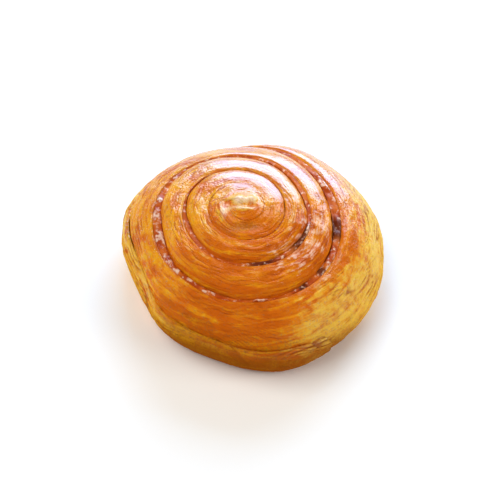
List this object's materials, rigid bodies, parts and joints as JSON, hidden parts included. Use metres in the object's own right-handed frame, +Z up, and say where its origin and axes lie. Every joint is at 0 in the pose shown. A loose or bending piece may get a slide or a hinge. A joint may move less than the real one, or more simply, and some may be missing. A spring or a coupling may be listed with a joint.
{
  "type": "vanilla danish",
  "caption": "Round coiled danish: a strip of flaky dough wound into a low dome with a thin vanilla filling between its turns, for a bakery or breakfast scene.",
  "frame": {"origin": "centre of the bounding box at the level of the flat base", "axes": "+Z up from the base through the crown; -Y towards the side where the strip's free edge lies, +X along the width"},
  "size_m": [0.1064, 0.108, 0.0424],
  "materials": {
    "dough": "golden-brown baked flaky dough under a clear sugar glaze",
    "filling": "sticky baked vanilla filling, caramelised where it shows"
  },
  "bodies": {
    "root": {"dough_coil": "dough", "vanilla_filling": "filling"}
  },
  "joints": []
}
